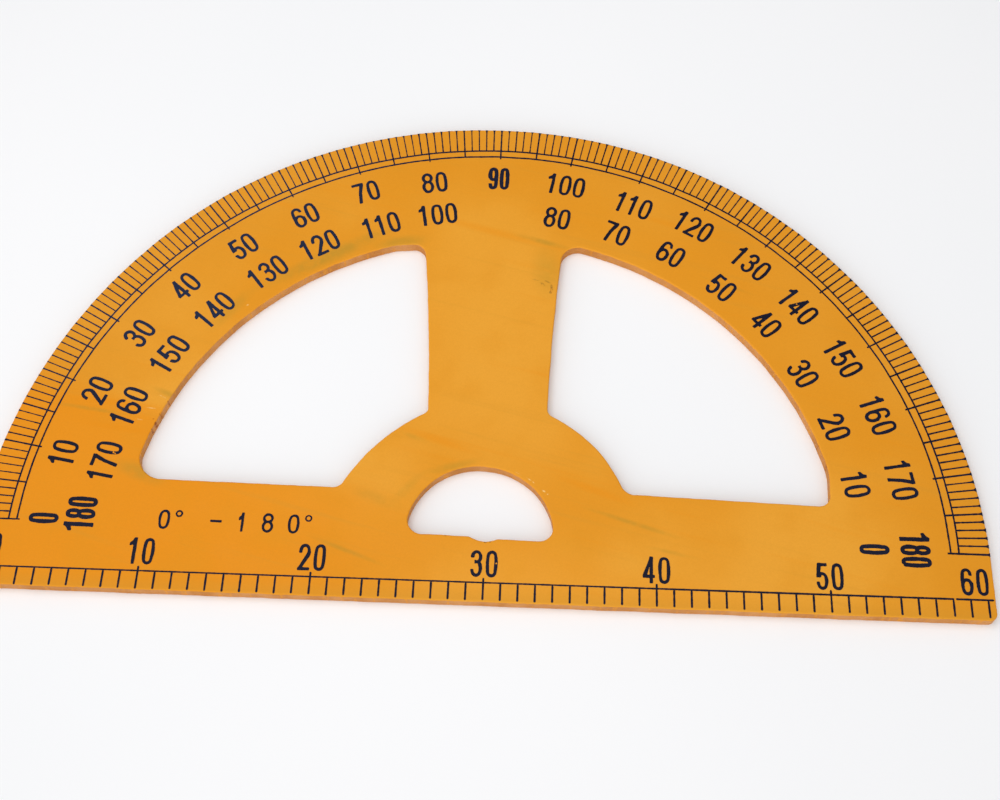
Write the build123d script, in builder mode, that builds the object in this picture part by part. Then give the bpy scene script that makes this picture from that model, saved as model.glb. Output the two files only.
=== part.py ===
"""Blackboard protractor: a sawn plywood half disc with a 0-180 degree scale and a 60 cm rule.

Origin at the centre of the angle scale on the back face, X along the rule, Y towards 90 degrees,
Z out of the printed face. Millimetres.
"""

import os
from math import cos, hypot, radians, sin

from build123d import *

# ---- board ----
board_thickness = 8.0
ply_count = 5
ply_thickness = board_thickness / ply_count
edge_round = 0.9            # sanded edge on the outer faces
side_x = 296.8              # straight sides below the baseline
bottom_left_y = -40.5       # the rule edge is sawn a touch out of parallel
bottom_right_y = -40.0
bottom_corner_radius = 4.5

# The rim is sawn by hand and wanders within a millimetre of a true circle: evenly spaced radii.
rim_radii = [296.8, 295.7, 295.7, 296.4, 296.3, 297.0, 296.5, 295.5, 296.8]

# ---- windows ----
window_radius_left = 212.8   # outer arc where it leaves the lower corner
window_radius_right = 212.0
window_radius_top = 210.7    # outer arc towards the strut
left_arc_middle = (212.0, 138)    # radius and angle half way along the outer arc
right_arc_middle = (211.5, 42)
hub_middle_angle_left = 138
hub_middle_angle_right = 42
left_top = (-46.3, 202.2)    # the left window flattens before it reaches the strut
left_shoulder_angle = 108.0
right_jamb = (205.7, 48.0)   # foot x and top y of the straight right side of the right window
strut_top_x = 43.6           # right half width of the strut where the window ends
strut_foot_x = 36.5          # half width of the strut where it stands on the hub
strut_waist_left = (-39.3, 130.0)
strut_waist_right = (38.9, 145.0)
hub_radii_left = (90.5, 87.4, 88.5)   # at the sill, half way, and at the strut foot
hub_radius_right = 89.3
left_sill = (29.4, 28.1)     # lower edge of the left window, outer end and hub end
right_sill = (26.9, 30.3)    # lower edge of the right window, outer end and hub end
left_corner_radii = (15.0, 7.0, 4.0, 8.0)   # outer, hub, strut foot, strut top
right_corner_radii = (7.0, 9.0, 5.5, 11.0)
jamb_blend_radius = 40.0

# ---- half-round sighting hole at the angle centre ----
eye_top = (-0.8, 44.8)
eye_left_shoulder = (-33.4, 31.2)
eye_right_shoulder = (29.4, 31.9)
eye_left = (-44.6, 0.4)
eye_right = (42.4, -1.6)
notch_left = (-7.0, 0.0)
notch_bottom = (2.2, -3.0)
notch_right = (9.5, -1.3)
eye_left_radius = 9.0
eye_right_radius = 8.0

# ---- printed degree scale ----
ink = 0.15                   # film thickness of the screen print
inner_arc_radius = 273.7
outer_arc_radius = 278.6
arc_line = 1.1
one_tick_line = 0.85
long_tick_line = 1.05        # the five and ten degree ticks
tick_end_radius = 294.3      # the print stops where the sanded edge begins
ten_tick_start_radius = 271.9

# ---- printed rule ----
rule_y = -28.6
rule_skew = 0.155            # the rule is printed this many degrees off the baseline
rule_line = 1.0
rule_tick_line = 1.15
rule_bottom_y = -39.3
rule_origin_x = 2.42         # the 30 cm tick
centimetre = 10.0
first_centimetre = 1
last_centimetre = 59
ten_centimetre_rise = 2.6    # the 10 cm ticks cross the line by this much
rule_end_x = 295.6

# ---- numerals: (width, height, stroke, pitch) ----
scale_type = (7.7, 16.0, 2.0, 9.2)
bold_type = (6.4, 17.4, 2.35, 7.5)
rule_type = (6.9, 16.3, 1.9, 8.9)
legend_type = (6.7, 12.0, 1.45, 15.3)
one_kerning = 0.9            # two neighbouring ones stand closer together

# Where each number of the clockwise scale stands: label -> (centre radius, degrees from the left).
outer_numbers = {
    "0": (258.0, 0.3), "10": (257.9, 9.7), "20": (256.3, 19.85), "30": (255.8, 30.05),
    "40": (256.9, 39.65), "50": (255.4, 50.0), "60": (255.1, 60.25), "70": (257.2, 70.0),
    "80": (254.8, 80.25), "90": (256.0, 89.9), "100": (256.0, 99.9), "110": (254.0, 110.4),
    "120": (257.2, 119.95), "130": (255.8, 130.1), "140": (254.2, 139.65),
    "150": (254.2, 149.8), "160": (254.4, 159.55), "170": (253.1, 169.5), "180": (253.4, 179.7),
}
# The counter-clockwise scale: label -> (centre radius, degrees from the right).
inner_numbers = {
    "0": (229.5, 0.2), "10": (225.4, 10.75), "20": (226.0, 20.6), "30": (226.2, 30.8),
    "40": (229.4, 41.1), "50": (228.5, 50.45), "60": (230.4, 60.5), "70": (229.1, 70.05),
    "80": (229.1, 80.15), "100": (229.0, 100.0), "110": (228.7, 109.6), "120": (229.6, 120.1),
    "130": (229.3, 129.7), "140": (229.8, 140.3), "150": (230.4, 150.45),
    "160": (232.7, 160.85), "170": (231.8, 170.3), "180": (236.8, 178.8),
}
bold_labels = ("0", "90", "180")
rule_number_y = -17.0
rule_number_places = {"0": -283.0, "10": -197.6, "20": -97.6, "30": 2.4,
                      "40": 102.4, "50": 202.4, "60": 285.7}
legend_first = (-187.0, 3.3)
degree_sign_radius = 2.1
degree_sign_y = legend_first[1] + legend_type[1] / 2 - degree_sign_radius

os.makedirs("parts", exist_ok=True)


def polar(radius, angle):
    return (radius * cos(radians(angle)), radius * sin(radians(angle)))


def on_circle(radius, x=None, y=None):
    """Point of the circle at a given x (upper half) or at a given y (right half)."""
    if y is None:
        return (x, (radius**2 - x**2) ** 0.5)
    return ((radius**2 - y**2) ** 0.5, y)


def round_corner(sketch, point, radius):
    fillet(sketch.vertices().sort_by_distance(Vector(*point))[0], radius)


# ---------------------------------------------------------------- board outline
with BuildSketch() as left_window:
    left_outer = (-on_circle(window_radius_left, y=left_sill[0])[0], left_sill[0])
    left_hub = (-on_circle(hub_radii_left[0], y=left_sill[1])[0], left_sill[1])
    left_foot = on_circle(hub_radii_left[2], x=-strut_foot_x)
    left_shoulder = polar(window_radius_top, left_shoulder_angle)
    with BuildLine():
        Line(left_outer, left_hub)
        ThreePointArc(left_hub, polar(hub_radii_left[1], hub_middle_angle_left), left_foot)
        ThreePointArc(left_foot, strut_waist_left, left_top)
        Line(left_top, left_shoulder)
        ThreePointArc(left_shoulder, polar(*left_arc_middle), left_outer)
    make_face()
    for place, size in zip((left_outer, left_hub, left_foot, left_top), left_corner_radii):
        round_corner(left_window, place, size)

with BuildSketch() as right_window:
    right_outer = (right_jamb[0], right_sill[0])
    right_arc_start = (on_circle(window_radius_right, y=right_jamb[1])[0], right_jamb[1])
    right_hub = on_circle(hub_radius_right, y=right_sill[1])
    right_foot = on_circle(hub_radius_right, x=strut_foot_x)
    right_top = on_circle(window_radius_top, x=strut_top_x)
    with BuildLine():
        Line(right_outer, right_hub)
        ThreePointArc(right_hub, polar(hub_radius_right, hub_middle_angle_right), right_foot)
        ThreePointArc(right_foot, strut_waist_right, right_top)
        ThreePointArc(right_top, polar(*right_arc_middle), right_arc_start)
        Line(right_arc_start, right_outer)
    make_face()
    round_corner(right_window, right_arc_start, jamb_blend_radius)
    for place, size in zip((right_outer, right_hub, right_foot, right_top), right_corner_radii):
        round_corner(right_window, place, size)

with BuildSketch() as eye:
    with BuildLine():
        Line(eye_left, notch_left)
        ThreePointArc(notch_left, notch_bottom, notch_right)
        Line(notch_right, eye_right)
        ThreePointArc(eye_right, eye_right_shoulder, eye_top)
        ThreePointArc(eye_top, eye_left_shoulder, eye_left)
    make_face()
    round_corner(eye, eye_left, eye_left_radius)
    round_corner(eye, eye_right, eye_right_radius)

with BuildSketch() as board_outline:
    with BuildLine():
        Polyline((-side_x, 0), (-side_x, bottom_left_y), (side_x, bottom_right_y), (side_x, 0))
        rim = [polar(radius, 180 * i / (len(rim_radii) - 1)) for i, radius in enumerate(rim_radii)]
        for i in range(0, len(rim) - 1, 2):
            ThreePointArc(*rim[i:i + 3])
    make_face()
    for place in ((-side_x, bottom_left_y), (side_x, bottom_right_y)):
        round_corner(board_outline, place, bottom_corner_radius)
    for window in (left_window, right_window, eye):
        add(window.sketch, mode=Mode.SUBTRACT)

# ---------------------------------------------------------------- plies
with BuildPart() as back_ply:
    with BuildSketch(Plane.XY):
        add(board_outline.sketch)
    extrude(amount=ply_thickness)
    fillet(back_ply.edges().group_by(Axis.Z)[0], edge_round)
back_ply.part.label = "back_ply"
export_step(back_ply.part, "parts/back_ply.step")

with BuildPart() as lower_crossband:
    with BuildSketch(Plane.XY.offset(ply_thickness)):
        add(board_outline.sketch)
    extrude(amount=ply_thickness)
lower_crossband.part.label = "lower_crossband"
export_step(lower_crossband.part, "parts/lower_crossband.step")

with BuildPart() as core_ply:
    with BuildSketch(Plane.XY.offset(2 * ply_thickness)):
        add(board_outline.sketch)
    extrude(amount=ply_thickness)
core_ply.part.label = "core_ply"
export_step(core_ply.part, "parts/core_ply.step")

with BuildPart() as upper_crossband:
    with BuildSketch(Plane.XY.offset(3 * ply_thickness)):
        add(board_outline.sketch)
    extrude(amount=ply_thickness)
upper_crossband.part.label = "upper_crossband"
export_step(upper_crossband.part, "parts/upper_crossband.step")

with BuildPart() as face_ply:
    with BuildSketch(Plane.XY.offset(4 * ply_thickness)):
        add(board_outline.sketch)
    extrude(amount=ply_thickness)
    fillet(face_ply.edges().group_by(Axis.Z)[-1], edge_round)
face_ply.part.label = "face_ply"
export_step(face_ply.part, "parts/face_ply.step")


# ---------------------------------------------------------------- numerals
def oval(width, height, mode=Mode.ADD, centre_y=0.0, fullness=0.42):
    """Upright oval of four tangent arcs: round ends joined by long, flat side arcs."""
    end = fullness * width
    rise = height / 2 - end
    side = (width**2 / 4 + rise**2 - end**2) / (width - 2 * end)
    reach = hypot(side - width / 2, rise)
    join = ((side - width / 2) / reach * end, rise + rise / reach * end)
    with BuildLine() as path:
        points = [(join[0], centre_y + join[1]), (-join[0], centre_y + join[1]),
                  (-join[0], centre_y - join[1]), (join[0], centre_y - join[1])]
        ThreePointArc(points[0], (0, centre_y + height / 2), points[1])
        ThreePointArc(points[1], (-width / 2, centre_y), points[2])
        ThreePointArc(points[2], (0, centre_y - height / 2), points[3])
        ThreePointArc(points[3], (width / 2, centre_y), points[0])
    make_face(path.edges(), mode=mode)


def box(left, right, low, high, mode=Mode.ADD):
    with Locations(((left + right) / 2, (low + high) / 2)):
        Rectangle(right - left, high - low, mode=mode)


def stroke(*points):
    with BuildLine() as path:
        Polyline(*points, close=True)
    make_face(path.edges())


def draw_digit(character, width, height, line):
    """One numeral in a plain upright sans, centred on its own origin."""
    half = width / 2
    top = height / 2
    bowl = 0.60 * height             # outer height of a lower bowl
    bowl_y = bowl / 2 - top
    cap = height - bowl + line       # outer height of an upper bowl
    cap_y = top - cap / 2
    inner = width - 2 * line
    with BuildSketch() as digit:
        if character == "0":
            oval(width, height)
            oval(inner, height - 1.8 * line, Mode.SUBTRACT)
        elif character == "1":
            box(0, line, -top, top)
            stroke((0.5 * line, top), (0, top), (-0.6 * line, top - 1.7), (-1.4 * line, top - 2.9),
                   (-1.4 * line, top - 4.8), (-0.5 * line, top - 4.3), (0.5 * line, top - 3.4))
        elif character == "2":
            hook = 0.62 * height
            hook_y = top - hook / 2
            oval(width, hook, centre_y=hook_y)
            oval(inner, hook - 1.9 * line, Mode.SUBTRACT, hook_y)
            box(-half - 1, half + 1, -top, hook_y, Mode.SUBTRACT)
            stroke((half - line, hook_y), (half, hook_y), (half - 0.08 * width, hook_y - 0.14 * height),
                   (-half + 1.35 * line, -top + 0.9 * line), (-half, -top + 0.4 * line))
            box(-half, half, -top, -top + 0.95 * line)
        elif character == "3":
            oval(0.94 * width, cap, centre_y=cap_y)
            oval(width, bowl, centre_y=bowl_y)
            oval(0.94 * width - 2 * line, cap - 1.9 * line, Mode.SUBTRACT, cap_y)
            oval(inner, bowl - 1.9 * line, Mode.SUBTRACT, bowl_y)
            box(-half - 1, -0.12 * width, -0.25 * height, 0.26 * height, Mode.SUBTRACT)
        elif character == "4":
            box(0.14 * width, 0.14 * width + line, -top, top)
            box(-half, half, -0.29 * height, -0.29 * height + 0.95 * line)
            stroke((0.14 * width, top), (0.14 * width + 0.2 * line, top - 1.35 * line),
                   (-half + 1.25 * line, -0.29 * height + 0.9 * line),
                   (-half, -0.29 * height + 0.9 * line))
        elif character == "5":
            box(-0.30 * width, 0.43 * width, top - line, top)
            oval(width, 0.64 * height, centre_y=-0.18 * height)
            oval(inner, 0.64 * height - 1.9 * line, Mode.SUBTRACT, -0.18 * height)
            box(-half - 1, -0.15 * width, -0.24 * height, 0.30 * height, Mode.SUBTRACT)
            stroke((-0.34 * width, top), (-0.30 * width + 0.85 * line, top),
                   (-0.41 * width + line, 0.02 * height), (-0.48 * width, -0.02 * height))
            box(-half + 0.5 * line, -0.14 * width, -0.01 * height, 0.09 * height)
        elif character in "69":
            oval(width, height)
            oval(inner, height - 1.8 * line, Mode.SUBTRACT)
            box(0, half + 1, -0.05 * height, 0.27 * height, Mode.SUBTRACT)
            oval(width, bowl, centre_y=bowl_y)
            oval(inner, bowl - 1.9 * line, Mode.SUBTRACT, bowl_y)
        elif character == "7":
            box(-half, half, top - line, top)
            stroke((half, top - 0.9 * line), (half, top - 1.35 * line), (-0.02 * width + 1.1 * line, 0),
                   (-0.22 * width + 1.05 * line, -top), (-0.22 * width, -top), (-0.02 * width, 0),
                   (half - 1.3 * line, top - 0.9 * line))
        elif character == "8":
            oval(0.94 * width, cap, centre_y=cap_y)
            oval(width, bowl, centre_y=bowl_y)
            oval(0.94 * width - 2 * line, cap - 1.9 * line, Mode.SUBTRACT, cap_y)
            oval(inner, bowl - 1.9 * line, Mode.SUBTRACT, bowl_y)
    if character == "9":
        return Rot(0, 0, 180) * digit.sketch
    return digit.sketch


def set_number(label, centre, turn, numeral_type, places):
    """Append the place of every digit of a number, centred on a point and turned in plane."""
    pitch = numeral_type[3]
    offsets = [pitch * (i - (len(label) - 1) / 2) for i in range(len(label))]
    if label.startswith("11"):
        offsets[0] += one_kerning
    for character, offset in zip(label, offsets):
        spot = Pos(*centre) * Rot(0, 0, turn) * Pos(offset, 0)
        places.setdefault((character, numeral_type), []).append(spot)


def print_numbers(places):
    for (character, numeral_type), spots in places.items():
        digit = draw_digit(character, *numeral_type[:3])
        with Locations(*spots):
            add(digit)


outer_places = {}
for number, (radius, from_left) in outer_numbers.items():
    style = bold_type if number in bold_labels else scale_type
    set_number(number, polar(radius, 180 - from_left), 90 - from_left, style, outer_places)

inner_places = {}
for number, (radius, from_right) in inner_numbers.items():
    style = bold_type if number in bold_labels else scale_type
    set_number(number, polar(radius, from_right), from_right - 90, style, inner_places)

rule_places = {}
for number, x in rule_number_places.items():
    set_number(number, (x, rule_number_y), 0, rule_type, rule_places)

face_plane = Plane.XY.offset(board_thickness)

with BuildPart() as outer_degree_numbers:
    with BuildSketch(face_plane):
        print_numbers(outer_places)
    extrude(amount=ink)
outer_degree_numbers.part.label = "outer_degree_numbers"
export_step(outer_degree_numbers.part, "parts/outer_degree_numbers.step")

with BuildPart() as inner_degree_numbers:
    with BuildSketch(face_plane):
        print_numbers(inner_places)
    extrude(amount=ink)
inner_degree_numbers.part.label = "inner_degree_numbers"
export_step(inner_degree_numbers.part, "parts/inner_degree_numbers.step")

with BuildPart() as rule_numbers:
    with BuildSketch(face_plane):
        print_numbers(rule_places)
    extrude(amount=ink)
rule_numbers.part.label = "rule_numbers"
export_step(rule_numbers.part, "parts/rule_numbers.step")

# Plain range legend, one character to a cell: 0 deg - 180 deg.
with BuildPart() as range_legend:
    with BuildSketch(face_plane):
        legend_width, legend_height, legend_line, legend_pitch = legend_type
        legend_places = {}
        for cell, character in enumerate("0 -180 "):
            cell_x = legend_first[0] + cell * legend_pitch
            if character.isdigit():
                spot = Pos(cell_x, legend_first[1])
                legend_places.setdefault((character, legend_type), []).append(spot)
            elif character == "-":
                with Locations((cell_x, legend_first[1])):
                    Rectangle(legend_width, legend_line)
            else:
                with Locations((cell_x - 0.45 * legend_pitch, degree_sign_y)):
                    Circle(degree_sign_radius)
                    Circle(degree_sign_radius - 0.6 * legend_line, mode=Mode.SUBTRACT)
        print_numbers(legend_places)
    extrude(amount=ink)
range_legend.part.label = "range_legend"
export_step(range_legend.part, "parts/range_legend.step")


# ---------------------------------------------------------------- degree scale
def ring(radius, line):
    """Half ring of print over the 0-180 degree span."""
    Circle(radius + line / 2)
    Circle(radius - line / 2, mode=Mode.SUBTRACT)


with BuildSketch() as arcs:
    ring(outer_arc_radius, arc_line)
    with BuildSketch(mode=Mode.PRIVATE) as inner_ring:
        ring(inner_arc_radius, arc_line)
    add(inner_ring.sketch)
    with Locations((0, -outer_arc_radius - long_tick_line / 2)):
        Rectangle(3 * outer_arc_radius, 2 * outer_arc_radius, mode=Mode.SUBTRACT)

with BuildPart() as degree_arcs:
    with BuildSketch(face_plane):
        add(arcs.sketch)
    extrude(amount=ink)
degree_arcs.part.label = "degree_arcs"
export_step(degree_arcs.part, "parts/degree_arcs.step")


def print_ticks(angles, start_radius, line):
    """Radial ticks out to the rim, broken where the printed arcs already cover the board."""
    middle = (start_radius + tick_end_radius) / 2
    spots = [Rot(0, 0, angle) * Pos(middle, 0) for angle in angles]
    with Locations(*spots):
        Rectangle(tick_end_radius - start_radius, line)
    add(arcs.sketch, mode=Mode.SUBTRACT)


with BuildPart() as one_degree_ticks:
    with BuildSketch(face_plane):
        print_ticks([angle for angle in range(181) if angle % 5], outer_arc_radius, one_tick_line)
    extrude(amount=ink)
one_degree_ticks.part.label = "one_degree_ticks"
export_step(one_degree_ticks.part, "parts/one_degree_ticks.step")

with BuildPart() as five_degree_ticks:
    with BuildSketch(face_plane):
        print_ticks(range(5, 180, 10), inner_arc_radius, long_tick_line)
    extrude(amount=ink)
five_degree_ticks.part.label = "five_degree_ticks"
export_step(five_degree_ticks.part, "parts/five_degree_ticks.step")

with BuildPart() as ten_degree_ticks:
    with BuildSketch(face_plane):
        print_ticks(range(0, 181, 10), ten_tick_start_radius, long_tick_line)
    extrude(amount=ink)
ten_degree_ticks.part.label = "ten_degree_ticks"
export_step(ten_degree_ticks.part, "parts/ten_degree_ticks.step")

# ---------------------------------------------------------------- rule
rule_plane = Plane(origin=(0, rule_y, board_thickness), x_dir=(1, 0, 0)).rotated((0, 0, rule_skew))

with BuildPart() as rule_baseline:
    with BuildSketch(rule_plane):
        Rectangle(2 * rule_end_x, rule_line)
    extrude(amount=ink)
rule_baseline.part.label = "rule_baseline"
export_step(rule_baseline.part, "parts/rule_baseline.step")


def rule_ticks(centimetres):
    length = rule_y - rule_line / 2 - rule_bottom_y
    for mark in centimetres:
        x = rule_origin_x + centimetre * (mark - 30)
        with Locations((x, -rule_line / 2 - length / 2)):
            Rectangle(rule_tick_line, length)


with BuildPart() as centimetre_ticks:
    with BuildSketch(rule_plane):
        rule_ticks([mark for mark in range(first_centimetre, last_centimetre + 1) if mark % 10])
    extrude(amount=ink)
centimetre_ticks.part.label = "centimetre_ticks"
export_step(centimetre_ticks.part, "parts/centimetre_ticks.step")

with BuildPart() as ten_centimetre_ticks:
    with BuildSketch(rule_plane):
        rule_ticks(range(10, last_centimetre + 1, 10))
        for mark in range(10, last_centimetre + 1, 10):
            x = rule_origin_x + centimetre * (mark - 30)
            with Locations((x, rule_line / 2 + ten_centimetre_rise / 2)):
                Rectangle(rule_tick_line, ten_centimetre_rise)
    extrude(amount=ink)
ten_centimetre_ticks.part.label = "ten_centimetre_ticks"
export_step(ten_centimetre_ticks.part, "parts/ten_centimetre_ticks.step")
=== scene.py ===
"""Blackboard protractor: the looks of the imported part. Painted plywood board and screen-printed scales."""

import math

import bpy
import numpy as np
from mathutils import Euler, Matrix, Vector
from mathutils.geometry import delaunay_2d_cdt


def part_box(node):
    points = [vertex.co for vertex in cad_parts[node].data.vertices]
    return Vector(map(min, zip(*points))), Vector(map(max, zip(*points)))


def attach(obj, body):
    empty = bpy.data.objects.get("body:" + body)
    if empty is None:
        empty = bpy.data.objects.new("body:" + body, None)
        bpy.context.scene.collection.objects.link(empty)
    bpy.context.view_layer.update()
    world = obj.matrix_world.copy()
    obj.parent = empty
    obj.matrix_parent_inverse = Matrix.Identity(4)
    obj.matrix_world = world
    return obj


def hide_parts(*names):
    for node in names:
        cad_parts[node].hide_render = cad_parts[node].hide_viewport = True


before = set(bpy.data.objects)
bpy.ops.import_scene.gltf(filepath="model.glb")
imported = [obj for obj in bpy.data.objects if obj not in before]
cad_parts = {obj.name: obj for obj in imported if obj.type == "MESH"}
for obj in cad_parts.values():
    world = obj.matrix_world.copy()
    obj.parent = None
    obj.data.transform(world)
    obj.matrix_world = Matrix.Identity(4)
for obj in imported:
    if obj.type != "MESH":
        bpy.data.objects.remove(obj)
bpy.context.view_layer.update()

MM = 0.001

# -------------------- the board's numbers, in mm
PLIES = 5
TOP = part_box("face_ply")[1].z / MM
PLY = TOP / PLIES
ROUND = 0.9                        # radius of the sanded edges
SIDE_X = 296.8
RIM_RADII = [296.8, 295.7, 295.7, 296.4, 296.3, 297.0, 296.5, 295.5, 296.8]      # evenly spaced
BOTTOM_LEFT_Y, BOTTOM_RIGHT_Y, BOTTOM_CORNER = -40.5, -40.0, 4.5

# windows; an arc's middle is a radius and an angle, a sill is the height of its outer and its hub end
LEFT_RADIUS, LEFT_ARC_MIDDLE = 212.8, (212.0, 138)
RIGHT_RADIUS, RIGHT_ARC_MIDDLE = 212.0, (211.5, 42)
TOP_RADIUS = 210.7                 # outer arc towards the strut
LEFT_HUB_RADII = (90.5, 87.4, 88.5)      # at the sill, half way, and at the strut foot
RIGHT_HUB_RADIUS = 89.3
LEFT_HUB_MIDDLE, RIGHT_HUB_MIDDLE = 138, 42
LEFT_SILL, RIGHT_SILL = (29.4, 28.1), (26.9, 30.3)
STRUT_FOOT_X, STRUT_TOP_X = 36.5, 43.6
LEFT_WAIST, RIGHT_WAIST = (-39.3, 130.0), (38.9, 145.0)
LEFT_TOP, LEFT_SHOULDER = (-46.3, 202.2), 108.0
RIGHT_JAMB = (205.7, 48.0)         # foot x and top y of the straight right side
LEFT_CORNERS = [7.0, 4.0, 8.0, 0, 15.0]        # hub, strut foot, strut top, shoulder, outer
RIGHT_CORNERS = [9.0, 5.5, 11.0, 40.0, 7.0]    # hub, strut foot, strut top, jamb, outer

# half-round sighting hole, with a notch in its straight side
EYE_LEFT, EYE_RIGHT, EYE_TOP = (-44.6, 0.4), (42.4, -1.6), (-0.8, 44.8)
EYE_SHOULDERS = ((29.4, 31.9), (-33.4, 31.2))
NOTCH = [(-7.0, 0.0), (2.2, -3.0), (9.5, -1.3)]
EYE_CORNERS = [2.5, 2.5, 8.0, 9.0]             # notch left and right, eye right and left

FINE = 0.25                        # sampling of the raw outline
SPACING = 0.9                      # between the points of the finished outline
BOARD_SEED = 11

# -------------------- plane curves


def polar(radius, degrees):
    a = math.radians(degrees)
    return np.array([radius * math.cos(a), radius * math.sin(a)])


def on_circle(radius, x=None, y=None):
    if y is None:
        return np.array([x, math.sqrt(radius**2 - x**2)])
    return np.array([math.sqrt(radius**2 - y**2), y])


def line(p, q):
    p, q = np.asarray(p, float), np.asarray(q, float)
    count = max(2, int(np.hypot(*(q - p)) / FINE) + 1)
    t = np.linspace(0, 1, count)[:, None]
    return p * (1 - t) + q * t


def arc(p, middle, q):
    """Points of the circle through three points, from p to q."""
    (ax, ay), (bx, by), (cx, cy) = p, middle, q
    d = 2 * (ax * (by - cy) + bx * (cy - ay) + cx * (ay - by))
    a2, b2, c2 = ax * ax + ay * ay, bx * bx + by * by, cx * cx + cy * cy
    centre = np.array([(a2 * (by - cy) + b2 * (cy - ay) + c2 * (ay - by)) / d,
                       (a2 * (cx - bx) + b2 * (ax - cx) + c2 * (bx - ax)) / d])
    start, mid, end = (math.atan2(*(np.asarray(k) - centre)[::-1]) for k in (p, middle, q))
    sweep = (end - start) % math.tau
    if (mid - start) % math.tau > sweep:
        sweep -= math.tau
    radius = math.hypot(ax - centre[0], ay - centre[1])
    t = start + np.linspace(0, 1, max(3, int(abs(sweep) * radius / FINE) + 1)) * sweep
    return centre + radius * np.column_stack([np.cos(t), np.sin(t)])


def tangents(points, closed=False):
    if closed:
        d = np.roll(points, -1, 0) - np.roll(points, 1, 0)
    else:
        d = np.gradient(points, axis=0)
    return d / np.maximum(np.linalg.norm(d, axis=1, keepdims=True), 1e-12)


def left_of(t):
    return np.column_stack([-t[:, 1], t[:, 0]])


CORNER_SEARCH = 60                 # mm of curve on either side of a corner in which its blend must end


def rounded(a, b, radius):
    """Cuts two curves back from their shared corner and returns them with the blend arc between."""
    ta, tb = tangents(a), tangents(b)
    turn = math.copysign(1, ta[-1][0] * tb[0][1] - ta[-1][1] * tb[0][0])
    reach = int(CORNER_SEARCH / FINE)
    off_a = (a + turn * radius * left_of(ta))[-reach:]
    off_b = (b + turn * radius * left_of(tb))[:reach]
    gap = np.linalg.norm(off_a[:, None] - off_b[None], axis=2)
    i, j = np.unravel_index(gap.argmin(), gap.shape)
    centre = (off_a[i] + off_b[j]) / 2
    i += len(a) - len(off_a)
    start = math.atan2(*(a[i] - centre)[::-1])
    end = math.atan2(*(b[j] - centre)[::-1])
    sweep = turn * ((turn * (end - start)) % math.tau)
    t = start + np.linspace(0, 1, max(4, int(abs(sweep) * radius / FINE) + 1))[1:-1] * sweep
    return a[:i + 1], centre + radius * np.column_stack([np.cos(t), np.sin(t)]), b[j:]


def closed_curve(segments, radii, clockwise):
    """Joins segments into a loop, with a radius at the end of each, and spaces its points evenly."""
    segments, blends = list(segments), [None] * len(segments)
    for k, radius in enumerate(radii):
        following = (k + 1) % len(segments)
        if radius:
            segments[k], blends[k], segments[following] = rounded(segments[k], segments[following], radius)
    points = []
    for segment, blend in zip(segments, blends):
        points.append(segment)
        if blend is not None:
            points.append(blend)
    points = np.concatenate(points)
    keep = np.linalg.norm(points - np.roll(points, 1, 0), axis=1) > 1e-4
    points = points[keep]
    ring = np.vstack([points, points[:1]])
    along = np.concatenate([[0], np.cumsum(np.linalg.norm(np.diff(ring, axis=0), axis=1))])
    s = np.linspace(0, along[-1], int(along[-1] / SPACING), endpoint=False)
    loop = np.column_stack([np.interp(s, along, ring[:, 0]), np.interp(s, along, ring[:, 1])])
    x, y = loop.T
    area = np.sum(x * np.roll(y, -1) - y * np.roll(x, -1))
    return loop[::-1].copy() if (area < 0) != clockwise else loop


rim_points = [polar(r, 180 * i / (len(RIM_RADII) - 1)) for i, r in enumerate(RIM_RADII)]
rim_loop = closed_curve(
    [np.concatenate([arc(*rim_points[i:i + 3])[bool(i):] for i in range(0, len(rim_points) - 1, 2)]),
     line((-SIDE_X, 0), (-SIDE_X, BOTTOM_LEFT_Y)),
     line((-SIDE_X, BOTTOM_LEFT_Y), (SIDE_X, BOTTOM_RIGHT_Y)),
     line((SIDE_X, BOTTOM_RIGHT_Y), (SIDE_X, 0))],
    [0, BOTTOM_CORNER, BOTTOM_CORNER, 0], clockwise=False)

left_outer = on_circle(LEFT_RADIUS, y=LEFT_SILL[0]) * (-1, 1)
left_hub = on_circle(LEFT_HUB_RADII[0], y=LEFT_SILL[1]) * (-1, 1)
left_foot = on_circle(LEFT_HUB_RADII[2], x=-STRUT_FOOT_X)
left_shoulder = polar(TOP_RADIUS, LEFT_SHOULDER)
left_loop = closed_curve(
    [line(left_outer, left_hub), arc(left_hub, polar(LEFT_HUB_RADII[1], LEFT_HUB_MIDDLE), left_foot),
     arc(left_foot, LEFT_WAIST, LEFT_TOP), line(LEFT_TOP, left_shoulder),
     arc(left_shoulder, polar(*LEFT_ARC_MIDDLE), left_outer)],
    LEFT_CORNERS, clockwise=True)

right_outer = np.array([RIGHT_JAMB[0], RIGHT_SILL[0]])
right_arc_start = on_circle(RIGHT_RADIUS, y=RIGHT_JAMB[1])
right_hub = on_circle(RIGHT_HUB_RADIUS, y=RIGHT_SILL[1])
right_foot = on_circle(RIGHT_HUB_RADIUS, x=STRUT_FOOT_X)
right_top = on_circle(TOP_RADIUS, x=STRUT_TOP_X)
right_loop = closed_curve(
    [line(right_outer, right_hub), arc(right_hub, polar(RIGHT_HUB_RADIUS, RIGHT_HUB_MIDDLE), right_foot),
     arc(right_foot, RIGHT_WAIST, right_top), arc(right_top, polar(*RIGHT_ARC_MIDDLE), right_arc_start),
     line(right_arc_start, right_outer)],
    RIGHT_CORNERS, clockwise=True)

eye_loop = closed_curve(
    [line(EYE_LEFT, NOTCH[0]), arc(*NOTCH), line(NOTCH[2], EYE_RIGHT),
     np.concatenate([arc(EYE_RIGHT, EYE_SHOULDERS[0], EYE_TOP),
                     arc(EYE_TOP, EYE_SHOULDERS[1], EYE_LEFT)[1:]])],
    EYE_CORNERS, clockwise=True)

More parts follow.
